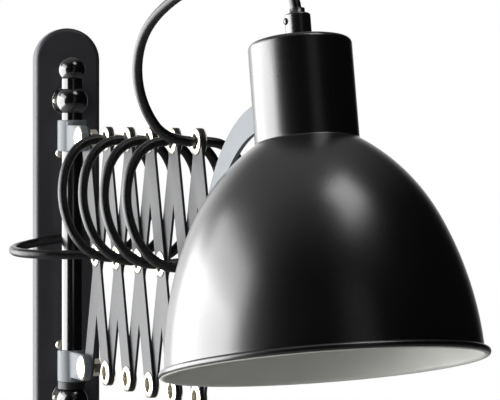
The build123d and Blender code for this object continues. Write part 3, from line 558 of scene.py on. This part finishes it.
# ---------------------------------------------------------------- shade
@dataclass
class Shade:
    """Spun steel shade: a straight neck, a dome of two arcs and a rolled bead at its mouth."""

    place: ShadePlace
    sheet: float = 1.0 * MM
    neck_radius: float = 28.0 * MM
    neck_top: float = 31.4 * MM
    neck_foot: float = -23.6 * MM
    neck_edge: float = 3.0 * MM
    hole_radius: float = 5.1 * MM
    crease_radius: float = 1.6 * MM
    upper_arc: float = 108.0 * MM
    lower_arc: float = 184.0 * MM
    angles: tuple[float, float, float] = (57.0, 25.0, 1.4)
    bead_radius: float = 2.1 * MM
    # the white enamel starts this many degrees below the bead's outermost line
    lining_from: float = 50.0
    straight_foot: float = 4.0 * MM
    steps: int = 160

    def centres(self) -> tuple[Point2, Point2]:
        """Centres of the dome's upper and lower arcs."""
        start, join, _ = (math.radians(a) for a in self.angles)
        upper = (
            self.neck_radius - self.upper_arc * math.cos(start),
            self.neck_foot - self.upper_arc * math.sin(start),
        )
        change = self.upper_arc - self.lower_arc
        lower = (upper[0] + change * math.cos(join), upper[1] + change * math.sin(join))
        return upper, lower

    def outside(self) -> list[Point2]:
        """Outer profile, from the hole in the neck's top to the bead's inner side."""
        upper, lower = self.centres()
        start, join, end = self.angles
        edge = self.neck_edge
        points = [(self.hole_radius, self.neck_top)]
        points += arc(
            (self.neck_radius - edge, self.neck_top - edge), edge, 90.0, 0.0, 8
        )
        setback = self.crease_radius * math.tan(math.radians(start / 2))
        points.append((self.neck_radius, self.neck_foot + setback + self.straight_foot))
        centre = (self.neck_radius + self.crease_radius, self.neck_foot + setback)
        points += arc(centre, self.crease_radius, 180.0, 180.0 + start, 6)
        skip = math.degrees(setback / self.upper_arc)
        points += arc(upper, self.upper_arc, start - skip, join, 24)[1:]
        points += arc(lower, self.lower_arc, join, end, 30)[1:-1]
        rim = (lower[0] + self.lower_arc * math.cos(math.radians(end)),
               lower[1] + self.lower_arc * math.sin(math.radians(end)))
        bead = (rim[0] + self.bead_radius - self.sheet, rim[1])
        meet = math.degrees(math.acos((rim[0] - bead[0]) / self.bead_radius))
        points += arc(bead, self.bead_radius, meet, -self.lining_from, 18)
        return points

    def inside(self) -> list[Point2]:
        """Inner profile, from the bead's underside to the hole in the neck's top."""
        upper, lower = self.centres()
        start, join, end = self.angles
        rim = (lower[0] + self.lower_arc * math.cos(math.radians(end)),
               lower[1] + self.lower_arc * math.sin(math.radians(end)))
        bead = (rim[0] + self.bead_radius - self.sheet, rim[1])
        points = arc(bead, self.bead_radius, -self.lining_from, -180.0, 12)
        points += arc(lower, self.lower_arc - self.sheet, end, join, 30)[1:]
        points += arc(upper, self.upper_arc - self.sheet, join, start, 24)[1:]
        wall = self.neck_radius - self.sheet
        corner = self.neck_edge - self.sheet
        points.append((wall, self.neck_foot - 0.4 * self.sheet))
        top = self.neck_top - self.sheet
        points += arc((wall - corner, top - corner), corner, 0.0, 90.0, 6)
        points += [(self.hole_radius, top), (self.hole_radius, self.neck_top)]
        return points

    def build(self) -> bpy.types.Object:
        """Build the shade, coated outside and lined inside.

        Returns:
            The shade.
        """
        mesh = bmesh.new()
        spin_profile(mesh, self.outside(), self.steps, 0)
        spin_profile(mesh, self.inside(), self.steps, 1)
        bmesh.ops.remove_doubles(mesh, verts=mesh.verts, dist=WELD)
        bmesh.ops.recalc_face_normals(mesh, faces=mesh.faces)
        shade = finish_mesh(
            "shade_shell", mesh, [coat(Coats.SHADE), coat(Coats.LINING)], self.place.matrix, 50.0
        )
        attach(shade, "shade")
        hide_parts("shade")
        return shade


# ---------------------------------------------------------------- cord
CORD_DIAMETER = 6.0 * MM


@dataclass
class Cord:
    """Textile cord, from the wall plate through the eyelets to the shade's grip."""

    linkage: Linkage
    shade: ShadePlace
    cells: int = 5
    lead: float = 5.0 * MM
    bulge: float = 29.0 * MM
    end_turn: float = 60.0
    grip_mouth: float = (31.4 + 15.3 + 3.0) * MM
    grip_floor: float = (31.4 + 8.05) * MM
    grip_stem: float = 9.0 * MM
    rail_out: float = -38.0 * MM
    wall_bend: float = 43.0 * MM
    loop_bulge: float = 43.0 * MM
    loop_span: float = 170.1 * MM
    loop_rise: float = 95.0 * MM
    # straight runs beside an eyelet, where the cord comes in from the wall and leaves for the loop
    wall_run: float = -21.5 * MM
    loop_run: float = -20.0 * MM
    # how finely the tube is drawn: between two control points, and round a quarter
    steps_along: int = 14
    steps_round: int = 6
    # each arc of a half turn has this many control points
    arc_corners: int = 3
    # where the cord from the wall bends: behind the rail, beside it and past it
    wall_bend_places: tuple[Point3, Point3, Point3] = (
        (0.0, -20.0 * MM, 0.0), (-43.0 * MM, -50.0 * MM, 0.0), (-43.0 * MM, -70.0 * MM, 0.0)
    )
    # ends of the stretches that are cut apart, as shares of the length
    wall_split: float = 0.55
    loop_splits: tuple[float, float] = (0.30, 0.60)
    # points across, along and up from the last top eyelet
    loop_rise_end: Point3 = (-40.0 * MM, 8.0 * MM, 45.0 * MM)
    loop_crown_start: Point3 = (-43.0 * MM, 9.0 * MM, 43.0 * MM)
    loop_crown_end: Point3 = (-20.0 * MM, 75.0 * MM, 90.0 * MM)
    wall_length: float = 0.170
    loop_length: float = 0.263
    turn_length: float = 0.1187
    textile: BraidedTextile = field(default_factory=lambda: BraidedTextile("black_textile_braid"))
    material: bpy.types.Material | None = None

    def curve(self, name: str, points: Sequence[Vector], bevel: float) -> bpy.types.Mesh:
        """Mesh of a smooth line whose control points are the route's points.

        Args:
            name: the mesh's name.
            points: the route's points.
            bevel: the tube's radius, or 0 for the bare line.

        Returns:
            The mesh, in the row frame.
        """
        data = bpy.data.curves.new(name, "CURVE")
        data.dimensions = "3D"
        data.resolution_u = self.steps_along
        data.bevel_depth = bevel
        data.bevel_resolution = self.steps_round
        spline = data.splines.new("NURBS")
        spline.points.add(len(points) - 1)
        for target, point in zip(spline.points, points):
            target.co = (*point, 1.0)
        spline.order_u = 3
        spline.use_endpoint_u = True
        holder = bpy.data.objects.new(name, data)
        bpy.context.scene.collection.objects.link(holder)
        bpy.context.view_layer.update()
        graph = bpy.context.evaluated_depsgraph_get()
        made = bpy.data.meshes.new_from_object(holder.evaluated_get(graph))
        bpy.data.objects.remove(holder)
        bpy.data.curves.remove(data)
        return made

    def stretch(
        self, name: str, points: Sequence[Vector], length: float, parts: Sequence[Point2]
    ) -> list[bpy.types.Object]:
        """Make one stretch of cord, whole or cut into parts.

        Args:
            name: the stretch's name.
            points: the route's points.
            length: the stretch's real length; not used.
            parts: first and last share of each part.

        Returns:
            The parts.
        """
        line = [v.co.copy() for v in self.curve(name, points, 0.0).vertices]
        tube = self.curve(name, points, CORD_DIAMETER / 2)
        marks = [0.0]
        for before, after in zip(line, line[1:]):
            marks.append(marks[-1] + (after - before).length)
        rings = len(line)
        sides = len(tube.vertices) // rings
        pieces = []
        for number, (first, last) in enumerate(parts):
            low = min(range(rings), key=lambda i: abs(marks[i] - first * marks[-1]))
            high = min(range(rings), key=lambda i: abs(marks[i] - last * marks[-1]))
            mesh = bmesh.new()
            mesh.from_mesh(tube)
            mesh.verts.ensure_lookup_table()
            layer = mesh.loops.layers.uv.verify()
            for face in mesh.faces:
                owned = [loop.vert.index for loop in face.loops]
                wraps = max(i % sides for i in owned) - min(i % sides for i in owned) > 1
                for loop in face.loops:
                    ring, side = divmod(loop.vert.index, sides)
                    turn = side + (sides if wraps and side == 0 else 0)
                    loop[layer].uv = (marks[ring], turn / sides * math.pi * CORD_DIAMETER)
            spare = [v for v in mesh.verts if not low <= v.index // sides <= high]
            bmesh.ops.delete(mesh, geom=spare, context="VERTS")
            rim = [edge for edge in mesh.edges if edge.is_boundary]
            bmesh.ops.holes_fill(mesh, edges=rim, sides=sides)
            bmesh.ops.recalc_face_normals(mesh, faces=mesh.faces)
            label = name if len(parts) == 1 else f"{name}_{number + 1}"
            piece = finish_mesh(label + "_braid", mesh, [self.material], sharp_degrees=60.0)
            pieces.append(piece)
        return pieces

    def half_turn_points(self, start: Vector, end: Vector, outward: Vector) -> list[Vector]:
        """Control points of half a turn between two eyelets, leaving both squarely.

        Args:
            start: the first eyelet's centre.
            end: the second eyelet's centre.
            outward: unit vector that the half turn bulges to.

        Returns:
            The control points: the tangent corners of each arc.
        """
        chord = (end - start).length
        along = (end - start) / chord
        turn = math.radians(self.end_turn)
        a, b, c, d = 1 - math.cos(turn), math.cos(turn), math.sin(turn), 1 - math.sin(turn)
        det = a * d - b * c
        end_radius = (chord / 2 * d - b * self.bulge) / det
        crown_radius = (a * self.bulge - c * chord / 2) / det
        flat = [(0.0, 0.0)]
        x, y, heading = 0.0, self.lead, math.pi / 2
        swings = (
            (end_radius, turn), (crown_radius, math.pi - 2 * turn), (end_radius, turn)
        )
        for radius, sweep in swings:
            step = sweep / self.arc_corners
            reach = radius * math.tan(step / 2)
            for _ in range(self.arc_corners):
                x, y = x + reach * math.cos(heading), y + reach * math.sin(heading)
                flat.append((x, y))
                heading -= step
                x, y = x + reach * math.cos(heading), y + reach * math.sin(heading)
        flat.append((chord, 0.0))
        return [start + along * u + outward * v for u, v in flat]

    def wall_points(self) -> list[Vector]:
        """Route from the connector in the plate, behind and round the rail, to the arm."""
        inside = [(5.0, -8.5, -12.0), (5.0, -8.5, 9.0), (5.0, -22.5, 9.0)]
        shares = [
            (-0.23, 0.35, 0.16), (-0.63, 0.19, 0.105), (-0.93, -0.21, 0.058),
            (-1.0, -0.67, 0.028), (-0.81, -1.12, 0.009),
        ]
        first = self.linkage.mid(1)
        points = [Vector(point) * MM for point in inside]
        points += [Vector((0.0, self.rail_out, 0.0)) + Vector(s) * self.wall_bend for s in shares]
        return points + [self.linkage.offset(first, self.wall_run, 0.0, 0.0), first]

    def loop_points(self) -> list[Vector]:
        """Route of the slack loop from the last top eyelet up and over to the grip."""
        shares = [
            (-0.83, 0.02, 0.20), (-1.0, 0.055, 0.45), (-0.98, 0.14, 0.70), (-0.74, 0.30, 0.89),
            (-0.40, 0.48, 0.99), (-0.24, 0.66, 1.0), (-0.16, 0.825, 0.97),
        ]
        start = self.linkage.top(self.cells)
        points = [start, self.linkage.offset(start, self.loop_run, 0.0, 0.0)]
        for side, along, up in shares:
            points.append(self.linkage.offset(
                start, side * self.loop_bulge, along * self.loop_span, up * self.loop_rise
            ))
        points.append(self.shade.at(self.grip_mouth + self.grip_stem))
        return points + [self.shade.at(self.grip_floor)]

    def build(self) -> list[bpy.types.Object]:
        """Build every stretch of the cord.

        Returns:
            The stretches.
        """
        self.material = self.textile.make()
        side = self.linkage.side
        pieces = []
        wall = self.stretch(
            "cord_wall", self.wall_points(), self.wall_length,
            ((0, self.wall_split), (self.wall_split, 1)),
        )
        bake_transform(wall[0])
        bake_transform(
            wall[1], "lower_bracket", "rear_bar_1",
            self.wall_bend_places[2], self.linkage.mid(1),
        )
        for piece in wall:
            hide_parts("cord_wall")
        pieces += wall
        for k in range(1, self.cells + 1):
            points = self.half_turn_points(self.linkage.mid(k), self.linkage.top(k), side)
            rear = self.stretch(f"cord_rear_{k}", points, self.turn_length, ((0, 1),))[0]
            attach(rear, f"rear_bar_{k}")
            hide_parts(f"cord_rear_{k}")
            pieces.append(rear)
            if k < self.cells:
                points = self.half_turn_points(self.linkage.top(k), self.linkage.mid(k + 1), -side)
                front = self.stretch(f"cord_front_{k}", points, self.turn_length, ((0, 1),))[0]
                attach(front, f"front_bar_{k + 1}")
                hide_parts(f"cord_front_{k}")
                pieces.append(front)
        first, second = self.loop_splits
        loop = self.stretch(
            "cord_loop", self.loop_points(), self.loop_length,
            ((0, first), (first, second), (second, 1)),
        )
        start = self.linkage.top(self.cells)
        rise, crown_start, crown = (
            self.linkage.offset(start, *place)
            for place in (self.loop_rise_end, self.loop_crown_start, self.loop_crown_end)
        )
        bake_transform(loop[0])
        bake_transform(loop[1])
        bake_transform(loop[2], "arm", "shade", crown, self.shade.at(self.grip_mouth))
        for piece in loop:
            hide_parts("cord_loop")
        return pieces + loop


# ---------------------------------------------------------------- carried-over nodes
@dataclass
class CarriedPieces:
    """Nodes whose machined shape is right: each gets its finish on a smooth copy."""

    record: dict

    coats: ClassVar[dict[str, Coats]] = {
        "plate_black": Coats.PLATE, "strap_steel": Coats.ZINC, "fastener_nickel": Coats.NICKEL,
        "block_plastic": Coats.POLYAMIDE, "grommet_rubber": Coats.RUBBER,
        "rail_black": Coats.RAIL, "bush_plastic": Coats.ACETAL, "bracket_grey": Coats.BRACKET,
        "bar_black": Coats.BAR, "eyelet_nickel": Coats.NICKEL, "arm_grey": Coats.ARM,
        "lug_black": Coats.SHADE, "knob_black": Coats.ACETAL, "steel_tube": Coats.ZINC,
        "holder_plastic": Coats.PHENOLIC, "contact_brass": Coats.BRASS,
        "grip_black": Coats.GRIP,
    }

    def build(self) -> list[bpy.types.Object]:
        """Dress every node that no other class has replaced.

        Returns:
            The dressed copies.
        """
        slots = {entry["node"]: entry["material_slot"] for entry in self.record["subparts"]}
        pieces = []
        for body, nodes in self.record["behaviour"]["bodies"].items():
            for node in nodes:
                if bpy.data.objects[node].hide_render:
                    continue
                pieces.append(dressed_copy(node, body, self.coats[slots[node]]))
        return pieces


# ---------------------------------------------------------------- studio
@dataclass(frozen=True)
class SoftLamp:
    """A soft rectangular lamp, placed by the camera's directions from the point it faces."""

    name: str
    rightward: float
    nearer: float
    upward: float
    size: Point2
    watts: float


@dataclass(frozen=True)
class Glow:
    """Brightness of the mirrored room that rises smoothly towards a direction.

    The direction is given by its shares forward, right and up from the camera, and the rise
    by the cosines at which it starts and is full.
    """

    shares: Point3
    start: float
    full: float
    low: float
    high: float


@dataclass
class Studio:
    """Camera at the photograph's angle, soft lamps, a pale floor and a white room."""

    camera_at: Vector = field(default_factory=lambda: Vector((-0.2413, -1.9061, 0.0937)))
    looks_along: Vector = field(default_factory=lambda: Vector((0.1908, 0.9816, 0.0)))
    lens_mm: float = 201.6
    sensor_mm: float = 36.0
    near_clip: float = 10 * MM
    shift_down: float = -0.178
    floor_drop: float = 0.45
    floor_size: float = 2.6
    floor_corners: int = 96
    floor_whiteness: float = 0.85
    aim: Vector = field(default_factory=lambda: Vector((0.06, -0.36, 0.0)))
    room_light: float = 0.26
    # the pale wall behind on the left, which fades out upwards, and the dim ceiling
    side_wall: Glow = Glow((0.86, -0.50, 0.0), 0.55, 0.93, 0.0, 1.7)
    below_ceiling: Glow = Glow((0.0, 0.0, 1.0), 0.18, 0.60, 1.0, 0.0)
    ceiling: Glow = Glow((0.40, -0.34, 0.85), 0.45, 1.0, 0.005, 0.31)
    lamps: tuple[SoftLamp, ...] = (
        SoftLamp("left_softbox", -1.25, -0.20, -0.06, (1.8, 1.1), 39.0),
        SoftLamp("left_feather", -1.20, 0.08, 0.61, (1.2, 0.5), 7.0),
        SoftLamp("high_softbox", 0.50, 0.35, 1.46, (0.56, 0.56), 3.1),
        SoftLamp("front_panel", 0.62, 1.30, 0.45, (0.5, 1.2), 0.22),
    )

    def right(self) -> Vector:
        """Unit vector to the camera's right."""
        return self.looks_along.cross(UP).normalized()

    def camera(self) -> None:
        """Make the camera."""
        data = bpy.data.cameras.new("camera")
        data.lens = self.lens_mm
        data.sensor_width = self.sensor_mm
        data.shift_y = self.shift_down
        data.clip_start = self.near_clip
        camera = bpy.data.objects.new("camera", data)
        camera.location = self.camera_at
        camera.rotation_mode = "QUATERNION"
        camera.rotation_quaternion = self.looks_along.to_track_quat("-Z", "Y")
        bpy.context.scene.collection.objects.link(camera)
        bpy.context.scene.camera = camera

    def lamp(self, lamp: SoftLamp) -> None:
        """Make one lamp.

        Args:
            lamp: its place, size and power.
        """
        data = bpy.data.lights.new(lamp.name, "AREA")
        data.shape = "RECTANGLE"
        data.size, data.size_y = lamp.size
        data.energy = lamp.watts
        at = (
            self.aim + self.right() * lamp.rightward - self.looks_along * lamp.nearer
            + UP * lamp.upward
        )
        holder = bpy.data.objects.new(lamp.name, data)
        holder.location = at
        holder.rotation_mode = "QUATERNION"
        holder.rotation_quaternion = (self.aim - at).to_track_quat("-Z", "Y")
        bpy.context.scene.collection.objects.link(holder)

    def glow(
        self, tree: bpy.types.NodeTree, direction: bpy.types.NodeSocket, glow: Glow
    ) -> bpy.types.NodeSocket:
        """Add the nodes of one glow of the room.

        Args:
            tree: the world's node tree.
            direction: the direction that is looked at.
            glow: the glow.

        Returns:
            Its brightness.
        """
        forward, rightward, upward = glow.shares
        towards = (
            self.looks_along * forward + self.right() * rightward + UP * upward
        ).normalized()
        share = add_node(
            tree, "ShaderNodeVectorMath", {0: direction, 1: tuple(towards)},
            operation="DOT_PRODUCT",
        ).outputs["Value"]
        return add_node(
            tree, "ShaderNodeMapRange",
            {"Value": share, "From Min": glow.start, "From Max": glow.full,
             "To Min": glow.low, "To Max": glow.high},
            interpolation_type="SMOOTHSTEP",
        ).outputs["Result"]

    def room(self) -> None:
        """Make the world: white where it is seen, dimmer where it lights."""
        world = bpy.data.worlds.new("room")
        bpy.context.scene.world = world
        world.use_nodes = True
        tree = world.node_tree
        tree.nodes.clear()
        ray = add_node(tree, "ShaderNodeLightPath")
        direction = add_node(tree, "ShaderNodeTexCoord").outputs["Generated"]
        side_wall, level, ceiling = (
            self.glow(tree, direction, glow)
            for glow in (self.side_wall, self.below_ceiling, self.ceiling)
        )
        backdrop = add_node(
            tree, "ShaderNodeMath", {0: side_wall, 1: level, 2: ceiling}, operation="MULTIPLY_ADD"
        ).outputs[0]
        lights = add_node(
            tree, "ShaderNodeBackground",
            {"Color": linear("#f4f6f8"), "Strength": self.room_light},
        ).outputs[0]
        mirrored = add_node(
            tree, "ShaderNodeBackground", {"Color": (1, 1, 1, 1), "Strength": backdrop}
        ).outputs[0]
        seen = add_node(
            tree, "ShaderNodeBackground", {"Color": (1, 1, 1, 1), "Strength": 1.0}
        ).outputs[0]
        mixed = add_node(
            tree, "ShaderNodeMixShader", {0: ray.outputs["Is Glossy Ray"], 1: lights, 2: mirrored}
        ).outputs[0]
        clear = add_node(
            tree, "ShaderNodeMath",
            {0: ray.outputs["Is Camera Ray"], 1: ray.outputs["Is Transmission Ray"]},
            operation="MAXIMUM",
        ).outputs[0]
        final = add_node(tree, "ShaderNodeMixShader", {0: clear, 1: mixed, 2: seen}).outputs[0]
        add_node(tree, "ShaderNodeOutputWorld", {"Surface": final})

    def floor_paint(self) -> bpy.types.Material:
        """Make the floor's paint: near white where it is seen, pale grey where it lights.

        Returns:
            The new material.
        """
        material = Finish("floor_pale_paint", "#8a8a88", 0.7, grain_mm=4.0).make()
        tree = material.node_tree
        output = next(n for n in tree.nodes if n.bl_idname == "ShaderNodeOutputMaterial")
        painted = output.inputs["Surface"].links[0].from_socket
        white = add_node(
            tree, "ShaderNodeEmission", {"Color": (1, 1, 1, 1), "Strength": 1.0}
        ).outputs[0]
        seen = add_node(
            tree, "ShaderNodeMath",
            {0: add_node(tree, "ShaderNodeLightPath").outputs["Is Camera Ray"],
             1: self.floor_whiteness},
            operation="MULTIPLY",
        ).outputs[0]
        mixed = add_node(tree, "ShaderNodeMixShader", {0: seen, 1: painted, 2: white}).outputs[0]
        tree.links.new(mixed, output.inputs["Surface"])
        return material

    def floor(self, lowest: float) -> None:
        """Make the pale floor under the lamp.

        Args:
            lowest: height of the object's lowest point.
        """
        mesh = bmesh.new()
        bmesh.ops.create_circle(
            mesh, cap_ends=True, segments=self.floor_corners, radius=self.floor_size
        )
        place = Matrix.Translation((0.0, 0.0, lowest - self.floor_drop))
        floor = finish_mesh("floor", mesh, [self.floor_paint()], place)
        floor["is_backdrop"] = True

    def build(self, lowest: float) -> None:
        """Build the whole studio.

        Args:
            lowest: height of the object's lowest point.
        """
        self.camera()
        self.room()
        self.floor(lowest)
        for lamp in self.lamps:
            self.lamp(lamp)


# ---------------------------------------------------------------- main
def main() -> None:
    """Build every sub-assembly in order."""
    logging.basicConfig(level=logging.INFO, format="%(name)s: %(message)s")
    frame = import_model()
    packed_box = [list(corner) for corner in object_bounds()]
    scene = bpy.context.scene
    scene.view_settings.view_transform = "Standard"
    linkage = Linkage.read(frame["joints"])
    shade_place = ShadePlace.read(frame["record"], linkage.side)
    Studio().build(packed_box[0][2])
    for piece in Cord(linkage, shade_place).build():
        log.info("cord: %s", piece.name)
    log.info("shade: %s", Shade(shade_place).build().name)
    for piece in CarriedPieces(frame["record"]).build():
        log.info("carried over: %s", piece.name)


if __name__ == "__main__":
    main()
